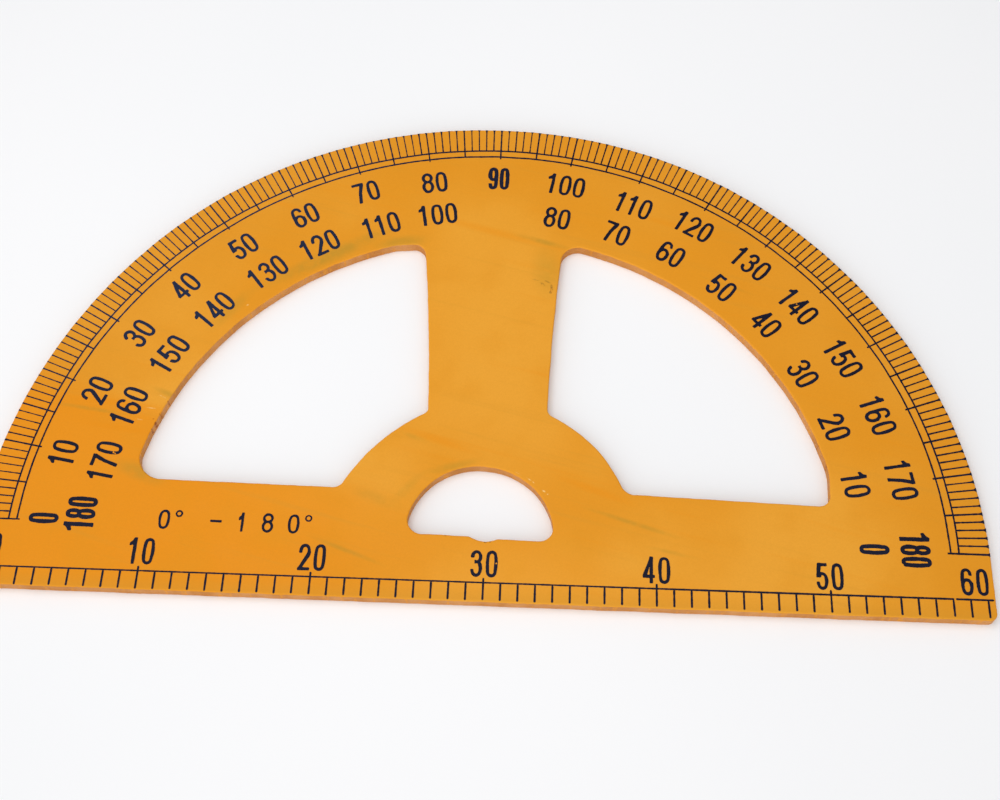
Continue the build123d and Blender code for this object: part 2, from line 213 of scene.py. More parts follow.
OUTLINE = [rim_loop, left_loop, right_loop, eye_loop]

SAW_WAVE = 0.07                    # how far the saw wandered, mm
SAW_WAVELENGTHS = ((45, 0.8), (22, 0.6), (11, 0.4), (6, 0.25))      # mm, and each one's share
SAW_SHARE_SUM = 1.7


def sawn(loop, seed):
    """The loop with the small waves that a saw and sandpaper leave, and its inward normals."""
    rng = np.random.RandomState(seed)
    count = len(loop)
    length = count * SPACING
    t = np.arange(count) / count * math.tau
    wave = np.zeros(count)
    for wavelength, share in SAW_WAVELENGTHS:
        for _ in range(3):
            cycles = max(1, round(length / wavelength * rng.uniform(0.8, 1.25)))
            wave += share * np.sin(cycles * t + rng.uniform(0, math.tau)) / SAW_SHARE_SUM
    inward = left_of(tangents(loop, closed=True))
    return loop + inward * (SAW_WAVE * wave)[:, None], inward


# -------------------- meshes
BATCH = 4000                       # points tested at a time


def is_inside(points, loops):
    """Even-odd test of points against closed loops."""
    inside = np.zeros(len(points), bool)
    for loop in loops:
        a, b = loop, np.roll(loop, -1, 0)
        for start in range(0, len(points), BATCH):
            p = points[start:start + BATCH]
            above = (a[None, :, 1] > p[:, None, 1]) != (b[None, :, 1] > p[:, None, 1])
            run = np.where(a[:, 1] == b[:, 1], 1, b[:, 1] - a[:, 1])
            cut = a[:, 0] + (p[:, None, 1] - a[:, 1]) * (b[:, 0] - a[:, 0]) / run
            crossed = np.count_nonzero(above & (p[:, None, 0] < cut), axis=1)
            inside[start:start + BATCH] ^= (crossed % 2).astype(bool)
    return inside


def fill(loops, extra=()):
    """Triangles that fill closed loops, as indices into the loops' points followed by the extra ones."""
    points, edges = [], []
    for loop in loops:
        first, count = len(points), len(loop)
        points += [Vector(p) for p in loop]
        edges += [(first + i, first + (i + 1) % count) for i in range(count)]
    points += [Vector(p) for p in extra]
    out = delaunay_2d_cdt(points, edges, [], 0, 1e-7)
    source = np.array([o[0] if len(o) else -1 for o in out[3]])
    triangles = source[np.array([f[:3] for f in out[2]])]
    triangles = triangles[(triangles >= 0).all(1)]
    flat = np.array([p[:] for p in points])
    return triangles[is_inside(flat[triangles].mean(1), loops)]


def make_object(name, vertices, faces, smooth=True):
    mesh = bpy.data.meshes.new(name)
    points = [tuple(v) for v in np.asarray(vertices) * MM]
    mesh.from_pydata(points, [], [tuple(int(i) for i in f) for f in faces])
    mesh.polygons.foreach_set("use_smooth", [smooth] * len(mesh.polygons))
    mesh.update()
    piece = bpy.data.objects.new(name, mesh)
    bpy.context.scene.collection.objects.link(piece)
    return piece


GRID_Y = (-42, 298)                # from below the rule edge to above the rim
ROW_PITCH = 0.87                   # of the grid, so that its triangles are nearly equilateral
GRID_CLEARANCE = 0.6               # least distance of a grid point from an edge, in grid steps


def board_solid(name, rows, grid=0.0):
    """A plate with the board's outline. Rows are (inset, z) up its edge, from the lower face to the upper.

    A grid of points is added to the upper face when grid, their spacing in mm, is given.
    """
    vertices, faces, low, high, shift = [], [], [], [], 0
    for k, loop in enumerate(OUTLINE):
        curve, inward = sawn(loop, BOARD_SEED + k)
        count = len(loop)
        for inset, z in rows:
            vertices.append(np.column_stack([curve + inward * inset, np.full(count, z)]))
        i = np.arange(count)
        j = (i + 1) % count
        for r in range(len(rows) - 1):
            a, b = shift + r * count, shift + (r + 1) * count
            faces += np.column_stack([a + i, a + j, b + j, b + i]).tolist()
        low.append((shift, curve + inward * rows[0][0]))
        high.append((shift + (len(rows) - 1) * count, curve + inward * rows[-1][0]))
        shift += count * len(rows)
    for ends, upward in ((low, False), (high, True)):
        extra = np.zeros((0, 2))
        if grid and upward:
            gx, gy = np.meshgrid(np.arange(-SIDE_X, SIDE_X, grid), np.arange(*GRID_Y, grid * ROW_PITCH))
            gx[::2] += grid / 2
            extra = np.column_stack([gx.ravel(), gy.ravel()])
            extra = extra[is_inside(extra, [p for _, p in ends])]
            near = np.concatenate([p for _, p in ends])[::2]
            gap = np.array([np.min(np.sum((near - p)**2, axis=1)) for p in extra])
            extra = extra[gap > (GRID_CLEARANCE * grid)**2]
        numbers = np.concatenate([start + np.arange(len(p)) for start, p in ends]
                                 + [shift + np.arange(len(extra))])
        triangles = numbers[fill([p for _, p in ends], extra)]
        vertices.append(np.column_stack([extra, np.full(len(extra), rows[-1 if upward else 0][1])]))
        shift += len(extra)
        faces += (triangles if upward else triangles[:, ::-1]).tolist()
    return make_object(name, np.concatenate(vertices), faces)


def quarter(z_from, upward, steps=7):
    """Rows of a quarter-round edge, from the side at z_from towards a face."""
    rows = []
    for k in range(steps + 1):
        a = math.pi / 2 * k / steps
        rise = ROUND * math.sin(a)
        rows.append((ROUND - ROUND * math.cos(a), z_from + (rise if upward else -rise)))
    return rows


GROOVE = 0.06                      # chamfer of a ply where it meets the next one
FLAT_INSET = 1.6                   # from the side to the last row, on the flat of the face
FACE_GRID = 6.0

face_foot = TOP - PLY
face_rows = [(GROOVE, face_foot), (0.0, face_foot + GROOVE), *quarter(TOP - ROUND, True), (FLAT_INSET, TOP)]
back_rows = [(FLAT_INSET, 0.0), *quarter(ROUND, False)[::-1], (0.0, PLY - GROOVE), (GROOVE, PLY)]
board_face = board_solid("board_face_ply", face_rows, FACE_GRID)
board_back = board_solid("board_back_ply", back_rows)
inner_plies = []
for number, node in enumerate(("lower_crossband", "core_ply", "upper_crossband"), 1):
    z0, z1 = number * PLY, (number + 1) * PLY
    rows = [(GROOVE, z0), (0.0, z0 + GROOVE), (0.0, z1 - GROOVE), (GROOVE, z1)]
    inner_plies.append((board_solid("board_" + node, rows), node))

# -------------------- ink
FILM = 0.07                        # how far the ink stands proud
OVERPRINT = 0.015                  # extra where a tick crosses a line
SUNK = 0.02                        # how far its underside dips into the paint
CELL = 0.28                        # sampling of the numerals
ROUNDING = 0.4                     # corner radius of the print
SPREAD, BOLD_SPREAD = 0.07, 0.14   # how far the ink crept beyond its stencil
SHOULDER = 0.94                    # width of a printed line's top in shares of its foot

# the degree sign, high on the left of its cell
DEGREE_SIGN, DEGREE_RADIUS, DEGREE_HALF_LINE = (-6.885, 3.9), 1.665, 0.435


def sd_box(x, y, left, right, low, high):
    dx = np.abs(x - (left + right) / 2) - (right - left) / 2
    dy = np.abs(y - (low + high) / 2) - (high - low) / 2
    return np.hypot(np.maximum(dx, 0), np.maximum(dy, 0)) + np.minimum(np.maximum(dx, dy), 0)


def sd_oval(x, y, width, height, centre_y=0.0, fullness=0.42):
    """Distance to an upright oval of four tangent arcs."""
    end = fullness * width
    rise = height / 2 - end
    side = (width**2 / 4 + rise**2 - end**2) / (width - 2 * end)
    px, py, side_x = np.abs(x), np.abs(y - centre_y), width / 2 - side
    on_end = -side_x * py - rise * (px - side_x) > 0
    return np.where(on_end, np.hypot(px, py - rise) - end, np.hypot(px - side_x, py) - side)


def sd_polygon(x, y, *points):
    best, sign = np.full(x.shape, 1e9), np.ones(x.shape)
    for (ax, ay), (bx, by) in zip(points, points[-1:] + points[:-1]):
        ex, ey, wx, wy = bx - ax, by - ay, x - ax, y - ay
        t = np.clip((wx * ex + wy * ey) / (ex * ex + ey * ey), 0, 1)
        best = np.minimum(best, (wx - ex * t)**2 + (wy - ey * t)**2)
        c1, c2, c3 = y >= ay, y < by, ex * wy > ey * wx
        sign = np.where((c1 & c2 & c3) | (~c1 & ~c2 & ~c3), -sign, sign)
    return sign * np.sqrt(best)


def join(a, b, reach=0.5):
    """Union of two shapes with a small fillet of ink where they meet."""
    h = np.maximum(reach - np.abs(a - b), 0) / reach
    return np.minimum(a, b) - h * h * reach / 4


def cut(d, hole):
    return -join(-d, hole, 0.8)


def numeral(character, x, y, width, height, w, soft):
    """Signed distance to a plain upright numeral with strokes of width w, made to be grown by soft.

    Fractions are of the numeral's width, its height or its stroke; other lengths are in mm.
    """
    half, top = width / 2, height / 2
    bowl = 0.60 * height
    bowl_y = bowl / 2 - top
    cap = height - bowl + w
    cap_y = top - cap / 2
    inner = width - 2 * w
    if character == "0":
        return cut(sd_oval(x, y, width, height), sd_oval(x, y, inner, height - 1.8 * w))
    if character == "1":
        line, low = w + 2 * soft, top + 2 * soft
        flag = sd_polygon(x, y, (0.5 * w, top), (0, top), (-0.6 * line + soft, top - 1.7),
                          (-1.4 * line + soft, top - 2.9), (-1.4 * line + soft, low - 4.8),
                          (-0.5 * line + soft, low - 4.3), (0.5 * w, low - 3.4))
        return join(sd_box(x, y, 0, w, -top, top), flag, 0.15)
    if character == "2":
        hook = 0.62 * height
        hook_y = top - hook / 2
        d = cut(sd_oval(x, y, width, hook, hook_y), sd_oval(x, y, inner, hook - 1.9 * w, hook_y))
        d = cut(d, sd_box(x, y, -half - 1, half + 1, -top - 1, hook_y))
        slope = sd_polygon(x, y, (half - w, hook_y), (half, hook_y),
                           (half - 0.08 * width, hook_y - 0.14 * height),
                           (-half + 1.35 * w, -top + 0.9 * w), (-half, -top + 0.4 * w))
        return join(join(d, slope), sd_box(x, y, -half, half, -top, -top + 0.95 * w))
    if character in "38":
        d = join(sd_oval(x, y, 0.94 * width, cap, cap_y), sd_oval(x, y, width, bowl, bowl_y))
        d = cut(d, sd_oval(x, y, 0.94 * width - 2 * w, cap - 1.9 * w, cap_y))
        d = cut(d, sd_oval(x, y, inner, bowl - 1.9 * w, bowl_y))
        if character == "3":
            d = cut(d, sd_box(x, y, -half - 1, -0.12 * width, -0.25 * height, 0.26 * height))
        return d
    if character == "4":
        stem = sd_box(x, y, 0.14 * width, 0.14 * width + w, -top, top)
        bar = sd_box(x, y, -half, half, -0.29 * height, -0.29 * height + 0.95 * w)
        slope = sd_polygon(x, y, (0.14 * width, top), (0.14 * width + 0.2 * w, top - 1.35 * w),
                           (-half + 1.25 * w, -0.29 * height + 0.9 * w), (-half, -0.29 * height + 0.9 * w))
        return join(join(stem, bar), slope)
    if character == "5":
        belly = cut(sd_oval(x, y, width, 0.64 * height, -0.18 * height),
                    sd_oval(x, y, inner, 0.64 * height - 1.9 * w, -0.18 * height))
        belly = cut(belly, sd_box(x, y, -half - 1, -0.15 * width, -0.24 * height, 0.30 * height))
        stem = sd_polygon(x, y, (-0.34 * width, top), (-0.30 * width + 0.85 * w, top),
                          (-0.41 * width + w, 0.02 * height), (-0.48 * width, -0.02 * height))
        joint = sd_box(x, y, -half + 0.5 * w, -0.14 * width, -0.01 * height, 0.09 * height)
        bar = sd_box(x, y, -0.30 * width, 0.43 * width, top - w, top)
        return join(join(belly, stem), join(joint, bar))
    if character in "69":
        if character == "9":
            x, y = -x, -y
        d = cut(sd_oval(x, y, width, height), sd_oval(x, y, inner, height - 1.8 * w))
        d = cut(d, sd_box(x, y, 0, half + 1, -0.05 * height, 0.27 * height))
        loop = sd_oval(x, y, width, bowl, bowl_y)
        return cut(join(d, loop), sd_oval(x, y, inner, bowl - 1.9 * w, bowl_y))
    if character == "7":
        bar = sd_box(x, y, -half, half, top - w, top)
        slope = sd_polygon(x, y, (half, top - 0.9 * w), (half, top - 1.35 * w), (-0.02 * width + 1.1 * w, 0),
                           (-0.22 * width + 1.05 * w, -top), (-0.22 * width, -top), (-0.02 * width, 0),
                           (half - 1.3 * w, top - 0.9 * w))
        return join(bar, slope)
    if character == "-":
        return sd_box(x, y, -half, half, -w / 2, w / 2)
    ring = np.hypot(x - DEGREE_SIGN[0], y - DEGREE_SIGN[1])
    return np.abs(ring - DEGREE_RADIUS) - (DEGREE_HALF_LINE - soft)


# cell code (corners inside, anticlockwise from the lower left) -> edges crossed, inside on the left
CROSSINGS = {1: [(0, 3)], 2: [(1, 0)], 4: [(2, 1)], 8: [(3, 2)], 3: [(1, 3)], 6: [(2, 0)], 12: [(3, 1)],
             9: [(0, 2)], 5: [(0, 3), (2, 1)], 10: [(1, 0), (3, 2)], 7: [(2, 3)], 11: [(1, 2)],
             13: [(0, 1)], 14: [(3, 0)]}


def zero_loops(field, xs, ys):
    """Closed loops of the zero level of a sampled field."""
    inside = field < 0
    code = (inside[:-1, :-1] * 1 + inside[:-1, 1:] * 2 + inside[1:, 1:] * 4 + inside[1:, :-1] * 8)
    following, place = {}, {}

    def crossing(row, column, edge):
        down, up = ((row, column), (row, column + 1)), ((row + 1, column), (row + 1, column + 1))
        (r0, c0), (r1, c1) = [down, (down[1], up[1]), up, (down[0], up[0])][edge]
        key = (r0, c0, r1, c1)
        if key not in place:
            f0, f1 = field[r0, c0], field[r1, c1]
            t = min(max(f0 / (f0 - f1), 0.02), 0.98)
            place[key] = (xs[c0] + (xs[c1] - xs[c0]) * t, ys[r0] + (ys[r1] - ys[r0]) * t)
        return key

    for row, column in zip(*np.nonzero((code > 0) & (code < 15))):
        for start, end in CROSSINGS[int(code[row, column])]:
            following[crossing(row, column, start)] = crossing(row, column, end)
    loops = []
    while following:
        key, following_key = following.popitem()
        loop = [place[key]]
        while following_key in following:
            loop.append(place[following_key])
            following_key = following.pop(following_key)
        if len(loop) > 5:
            loops.append(np.array(loop))
    return loops


def ripple(rng, size, shortest, longest, count=14):
    """A smooth random field of the plane."""
    waves = []
    for _ in range(count):
        a, k = rng.uniform(0, math.tau), math.tau / rng.uniform(shortest, longest)
        waves.append((k * math.cos(a), k * math.sin(a), rng.uniform(0, math.tau)))

    def height(x, y):
        return size * sum(np.sin(kx * x + ky * y + phase) for kx, ky, phase in waves) / math.sqrt(count / 2)

    return height


class Film:
    """Collects printed areas into one thin solid on the board's face."""

    def __init__(self, name, proud=FILM):
        self.name, self.vertices, self.faces, self.count = name, [], [], 0
        self.proud = proud

    def add(self, vertices, faces):
        self.vertices.append(np.asarray(vertices, float))
        self.faces += (np.asarray(faces) + self.count).tolist()
        self.count += len(vertices)

    def plate(self, loops, place=lambda p: p):
        """A flat area bounded by loops with the ink on their left."""
        triangles = fill(loops)
        flat = np.concatenate([place(loop) for loop in loops])
        n = len(flat)
        low = np.column_stack([flat, np.full(n, TOP - SUNK)])
        high = np.column_stack([flat, np.full(n, TOP + self.proud)])
        walls, shift = [], 0
        for loop in loops:
            i = np.arange(len(loop)) + shift
            j = np.roll(i, -1)
            walls.append(np.column_stack([i, j, j + n, i + n]))
            shift += len(loop)
        self.add(np.concatenate([low, high]), triangles + n)
        base = self.count - 2 * n
        self.faces += (triangles[:, ::-1] + base).tolist() + (np.concatenate(walls) + base).tolist()

    def ribbon(self, spine, normal, half_width):
        """A strip of ink along a spine of 3-D points, with a normal and a half width at each."""
        spine, normal = np.asarray(spine, float), np.asarray(normal, float)
        forward = np.gradient(spine, axis=0)
        across = np.cross(normal, forward)
        across /= np.linalg.norm(across, axis=1, keepdims=True)
        w = np.asarray(half_width)[:, None]
        rows = [spine + across * w - normal * SUNK, spine + across * w * SHOULDER + normal * self.proud,
                spine - across * w * SHOULDER + normal * self.proud, spine - across * w - normal * SUNK]
        n = len(spine)
        i = np.arange(n - 1)
        faces = [np.column_stack([a * n + i, a * n + i + 1, b * n + i + 1, b * n + i])
                 for a, b in ((1, 0), (2, 1), (3, 2), (0, 3))]
        ends = [[0, n, 2 * n, 3 * n], [n - 1, 4 * n - 1, 3 * n - 1, 2 * n - 1]]
        self.add(np.concatenate(rows), np.concatenate(faces + [np.array(ends)]))

    def finish(self, node, slot):
        piece = make_object(self.name, np.concatenate(self.vertices), self.faces, smooth=False)
        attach(piece, "root")
        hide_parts(node)
        return piece


# numeral faces: (width, height, stroke, pitch), as in the CAD
SCALE_TYPE = (7.7, 16.0, 2.0, 9.2)
BOLD_TYPE = (6.4, 17.4, 2.35, 7.5)
RULE_TYPE = (6.9, 16.3, 1.9, 8.9)
LEGEND_TYPE = (6.7, 12.0, 1.45, 15.3)
ONE_KERNING = 0.9
BOLD_LABELS = ("0", "90", "180")

# label -> (centre radius, degrees from the left)
OUTER_NUMBERS = {
    "0": (258.0, 0.3), "10": (257.9, 9.7), "20": (256.3, 19.85), "30": (255.8, 30.05),
    "40": (256.9, 39.65), "50": (255.4, 50.0), "60": (255.1, 60.25), "70": (257.2, 70.0),
    "80": (254.8, 80.25), "90": (256.0, 89.9), "100": (256.0, 99.9), "110": (254.0, 110.4),
    "120": (257.2, 119.95), "130": (255.8, 130.1), "140": (254.2, 139.65),
    "150": (254.2, 149.8), "160": (254.4, 159.55), "170": (253.1, 169.5), "180": (253.4, 179.7)}
# label -> (centre radius, degrees from the right)
INNER_NUMBERS = {
    "0": (229.5, 0.2), "10": (225.4, 10.75), "20": (226.0, 20.6), "30": (226.2, 30.8),
    "40": (229.4, 41.1), "50": (228.5, 50.45), "60": (230.4, 60.5), "70": (229.1, 70.05),
    "80": (229.1, 80.15), "100": (229.0, 100.0), "110": (228.7, 109.6), "120": (229.6, 120.1),
    "130": (229.3, 129.7), "140": (229.8, 140.3), "150": (230.4, 150.45),
    "160": (232.7, 160.85), "170": (231.8, 170.3), "180": (236.8, 178.8)}
RULE_NUMBERS = {"0": -283.0, "10": -197.6, "20": -97.6, "30": 2.4, "40": 102.4, "50": 202.4, "60": 285.7}
RULE_NUMBER_Y = -17.0
LEGEND, LEGEND_FIRST = "0 -180 ", (-187.0, 3.3)      # a blank stands for the degree sign

# where the screen left the ink thin or missing: (x, y, radius)
FLAWS = [(9.5, -16.6, 0.5), (*polar(254.7, 40.7), 0.5), (-224.0, 45.2, 0.6), (-222.9, 44.6, 0.45),
         (244.9, -8.2, 0.8)]
MARGIN = 1.2                       # sampled round a numeral

rng = np.random.RandomState(5)


def print_digit(film, character, kind, centre, turn, offset):
    width, height, stroke, _ = kind
    to_sign = 8 if character == " " else 0
    xs = np.arange(-width / 2 - MARGIN - to_sign, width / 2 + MARGIN, CELL)
    ys = np.arange(-height / 2 - MARGIN, height / 2 + MARGIN, CELL)
    x, y = np.meshgrid(xs, ys)
    bleed = ripple(rng, 0.03, 1.0, 3.5)
    swell = ripple(rng, 0.05, 5.0, 12.0, 6)
    soft = min(ROUNDING, 0.3 * stroke)
    field = numeral(character, x, y, width - 2 * soft, height - 2 * soft, stroke - 2 * soft, soft)
    spread = BOLD_SPREAD if kind is BOLD_TYPE else SPREAD
    field = field + bleed(x, y) + swell(x, y) - soft - spread
    c, s = math.cos(math.radians(turn)), math.sin(math.radians(turn))

    def place(p):
        px, py = p[:, 0] + offset, p[:, 1]
        return np.column_stack([centre[0] + c * px - s * py, centre[1] + s * px + c * py])

    spots = place(np.column_stack([x.ravel(), y.ravel()]))
    for fx, fy, radius in FLAWS:
        hole = radius - np.hypot(spots[:, 0] - fx, spots[:, 1] - fy)
        field = np.maximum(field, hole.reshape(field.shape))
    loops = zero_loops(field, xs, ys)
    if loops:
        film.plate(loops, place)


def print_number(film, label, kind, centre, turn):
    offsets = [kind[3] * (i - (len(label) - 1) / 2) for i in range(len(label))]
    if label.startswith("11"):
        offsets[0] += ONE_KERNING
    for character, offset in zip(label, offsets):
        print_digit(film, character, kind, centre, turn, offset)


def scale_type(label):
    return BOLD_TYPE if label in BOLD_LABELS else SCALE_TYPE


outer_film = Film("print_outer_degree_numbers")
for label, (radius, from_left) in OUTER_NUMBERS.items():
    print_number(outer_film, label, scale_type(label), polar(radius, 180 - from_left), 90 - from_left)
inner_film = Film("print_inner_degree_numbers")
for label, (radius, from_right) in INNER_NUMBERS.items():
    print_number(inner_film, label, scale_type(label), polar(radius, from_right), from_right - 90)
rule_film = Film("print_rule_numbers")
for label, x in RULE_NUMBERS.items():
    print_number(rule_film, label, RULE_TYPE, (x, RULE_NUMBER_Y), 0)
legend_film = Film("print_range_legend")
for cell, character in enumerate(LEGEND):
    place = (LEGEND_FIRST[0] + cell * LEGEND_TYPE[3], LEGEND_FIRST[1])
    print_digit(legend_film, character, LEGEND_TYPE, place, 0, 0)

# -------------------- printed lines
INNER_ARC, OUTER_ARC, ARC_LINE, ARC_OVERRUN = 273.7, 278.6, 1.1, 0.05      # the last in degrees
ONE_TICK_LINE, LONG_TICK_LINE, TEN_START = 0.85, 1.05, 271.9
RULE_Y, RULE_SKEW, RULE_LINE, RULE_TICK_LINE = -28.6, math.radians(0.155), 1.0, 1.15
RULE_PARTS = ((-295.6, 272.9), (273.8, 295.7))      # the baseline has a gap near its right end
RULE_MIDDLE, MIDDLE_MARK, LAST_MARK, MARK_STEP = 2.42, 30, 60, 10      # x of the middle mark, and the marks
TICK_FOOT, TEN_TICK_TOP, TICK_TOP = -10.75, 2.9, -0.3
END_ROUNDING = 0.5
UP = np.array([0.0, 0.0, 1.0])

edge_curve, _ = sawn(rim_loop, BOARD_SEED)
edge_angle = np.degrees(np.arctan2(edge_curve[:, 1], edge_curve[:, 0]))
edge_order = np.argsort(edge_angle)
edge_radius = np.hypot(edge_curve[:, 0], edge_curve[:, 1])


def between(value, low, high):
    """Share of the way from low to high, kept within 0 and 1."""
    return min(max((value - low) / (high - low), 0.0), 1.0)


def rim_radius(degrees):
    return float(np.interp(degrees, edge_angle[edge_order], edge_radius[edge_order]))


def arc_film(film, radius, first, last):
    angle = np.radians(np.arange(first, last + 0.05, 0.1))
    s = angle * radius
    wobble = ripple(rng, 0.03, 2.0, 9.0)
    drift = ripple(rng, 0.05, 15.0, 60.0)
    r = radius + drift(s, 0 * s)
    spine = np.column_stack([r * np.cos(angle), r * np.sin(angle), np.full(len(s), TOP)])
    bold = 0.08 * np.exp(-((angle - math.pi / 2) / 0.5)**2)      # heavier near the 90 degree mark
    film.ribbon(spine, np.tile(UP, (len(s), 1)), ARC_LINE / 2 + wobble(s, 0 * s) + bold)


def tick_film(film, degrees, start, line_width):
    """A radial tick that runs out over the rounded rim, where the ink has gathered."""
    rim = rim_radius(degrees)
    bleed = between(degrees, 150, 40)
    # the spine: flat on the face, then down round the edge
    flat_end = rim - ROUND
    flat = np.arange(start, flat_end - 0.2, 0.5)
    wrap = math.radians(rng.uniform(30, 55) + 35 * bleed)
    turn = np.linspace(0, wrap, 7)
    r = np.concatenate([flat, flat_end + ROUND * np.sin(turn)])
    z = np.concatenate([np.full(len(flat), TOP), TOP - ROUND + ROUND * np.cos(turn)])
    tilt = np.concatenate([np.zeros(len(flat)), turn])
    # the half width: the ink pools at the rim, is pressed out in places and ends in a round tip
    to_end = np.linspace(len(r) - 1, 0, len(r))
    swell = rng.uniform(0.12, 0.26) + rng.uniform(0.35, 0.75) * bleed
    spread = np.exp(-((rim - r) / rng.uniform(1.0, 1.6))**2)
    pressed = 0.10 * between(degrees, 60, 20) + 0.05 * np.exp(-((r - OUTER_ARC - 1.5) / 2.5)**2)
    half = line_width / 2 - 0.03 + pressed + rng.uniform(-0.05, 0.05)
    half = half + ripple(rng, 0.035, 1.5, 6.0)(r, 0 * r) + swell * spread
    half = half * np.clip((to_end + 0.8) / 2.5, 0, 1)**0.5
    half *= np.clip((np.arange(len(r)) + 1.2) / 2.0, 0, 1)**0.5
    a = math.radians(degrees + rng.uniform(-0.012, 0.012))
    c, s = math.cos(a), math.sin(a)
    spine = np.column_stack([r * c, r * s, z])
    normal = np.column_stack([np.sin(tilt) * c, np.sin(tilt) * s, np.cos(tilt)])
    film.ribbon(spine, normal, half)


arcs = Film("print_degree_arcs")
for radius in (OUTER_ARC, INNER_ARC):
    arc_film(arcs, radius, -ARC_OVERRUN, 180 + ARC_OVERRUN)
one_ticks = Film("print_one_degree_ticks", FILM + OVERPRINT)
five_ticks = Film("print_five_degree_ticks", FILM + OVERPRINT)
ten_ticks = Film("print_ten_degree_ticks", FILM + OVERPRINT)
for degrees in range(181):
    if degrees % 10 == 0:
        tick_film(ten_ticks, degrees, TEN_START, LONG_TICK_LINE)
    elif degrees % 5 == 0:
        tick_film(five_ticks, degrees, INNER_ARC, LONG_TICK_LINE)
    else:
        tick_film(one_ticks, degrees, OUTER_ARC, ONE_TICK_LINE)


def rule_point(x, y):
    """A point of the printed rule, which is turned a little against the board."""
    c, s = math.cos(RULE_SKEW), math.sin(RULE_SKEW)
    return (x * c - y * s, RULE_Y + x * s + y * c, TOP)


def straight_film(film, start, end, half, dot=0.0, heavy=0.0):
    """A straight printed line. It can end in a dot of ink, and grow heavier towards the right of the rule."""
    (x0, y0), (x1, y1) = start, end
    length = math.hypot(x1 - x0, y1 - y0)
    count = max(12, int(length / 0.6))
    t = np.linspace(0, 1, count)
    spine = np.array([rule_point(x0 + (x1 - x0) * k, y0 + (y1 - y0) * k) for k in t])
    s = t * length
    firm = heavy * np.clip((spine[:, 0] - 60) / 80, 0, 1)
    w = half + firm + ripple(rng, 0.035, 1.5, 8.0)(s, 0 * s) + dot * np.exp(-((length - s) / 0.7)**2)
    w = w * np.clip((s + 0.15) / END_ROUNDING, 0, 1)**0.5
    w = w * np.clip((length - s + 0.12) / END_ROUNDING, 0, 1)**0.5
    film.ribbon(spine, np.tile(UP, (count, 1)), w)


rule_line = Film("print_rule_baseline")
for first, last in RULE_PARTS:
    straight_film(rule_line, (first, 0), (last, 0), RULE_LINE / 2, heavy=0.12)
centimetres = Film("print_centimetre_ticks", FILM + OVERPRINT)
tens = Film("print_ten_centimetre_ticks", FILM + OVERPRINT)
for mark in range(1, LAST_MARK):
    x = RULE_MIDDLE + MARK_STEP * (mark - MIDDLE_MARK) + rng.uniform(-0.06, 0.06)
    foot = TICK_FOOT + rng.uniform(-0.25, 0.25)
    film, top, dot = (centimetres, TICK_TOP, 0.2) if mark % 10 else (tens, TEN_TICK_TOP, 0.15)
    straight_film(film, (x, top), (x, foot), RULE_TICK_LINE / 2 + 0.06, dot=rng.uniform(0.0, dot))

# -------------------- materials


